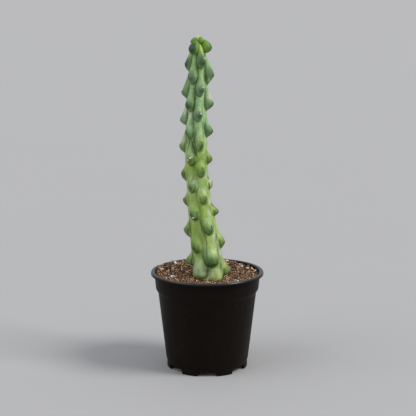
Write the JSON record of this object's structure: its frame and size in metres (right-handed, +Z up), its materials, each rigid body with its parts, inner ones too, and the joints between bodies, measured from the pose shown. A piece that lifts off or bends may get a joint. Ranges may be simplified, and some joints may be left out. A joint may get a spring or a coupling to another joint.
{
  "type": "potted boobie cactus",
  "caption": "Column cactus with rows of drooping rounded tubercles, in a round tapered plastic nursery pot filled with bark mix and pale pumice.",
  "frame": {"origin": "centre of the pot's foot, on the surface that it stands on", "axes": "+Z up along the pot's axis, -Y towards the plant's front"},
  "size_m": [0.115, 0.115, 0.3341],
  "materials": {
    "pot_plastic": "satin black plastic with fine scuffs and dust",
    "bark_mix": "rough bark chips, fibres and fines",
    "cactus_skin": "waxy green skin with a pale bloom",
    "pumice": "rough pale pumice"
  },
  "bodies": {
    "root": {"pot": "pot_plastic", "potting_mix": "bark_mix", "cactus": "cactus_skin", "pumice_1": "pumice", "pumice_2": "pumice", "pumice_3": "pumice", "pumice_4": "pumice", "pumice_5": "pumice", "pumice_6": "pumice", "pumice_7": "pumice", "pumice_8": "pumice", "pumice_9": "pumice", "pumice_10": "pumice", "pumice_11": "pumice", "pumice_12": "pumice"}
  },
  "joints": []
}
